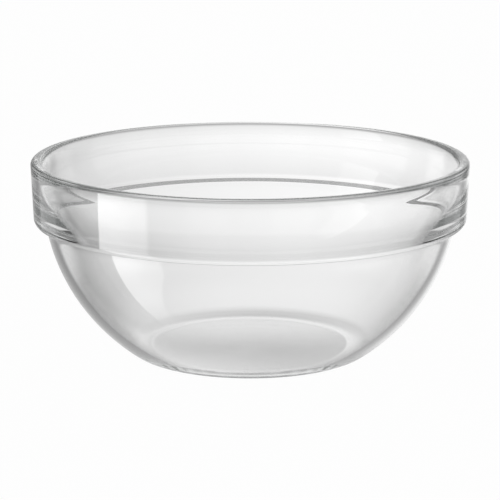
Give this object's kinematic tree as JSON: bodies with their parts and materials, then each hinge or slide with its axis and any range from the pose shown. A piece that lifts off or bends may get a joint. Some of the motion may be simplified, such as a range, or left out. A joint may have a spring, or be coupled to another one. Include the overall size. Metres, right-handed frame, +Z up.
{
  "type": "stacking bowl",
  "caption": "Clear pressed-glass bowl with a wide upright band round the rim and a stacking shoulder under it, on a small flat base; it holds food and stacks in bowls of its own size.",
  "frame": {"origin": "on the bowl's axis, in the plane of the ground that its bearing ring stands on", "axes": "+Z up along the bowl's axis towards the rim; the bowl is the same all round, so X and Y are free, and -Y faces the camera of the picture"},
  "size_m": [0.28, 0.28, 0.1274],
  "materials": {
    "clear_glass": "clear, colourless pressed glass, fire-polished smooth all over"
  },
  "bodies": {
    "root": {"glass_bowl": "clear_glass"}
  },
  "joints": []
}
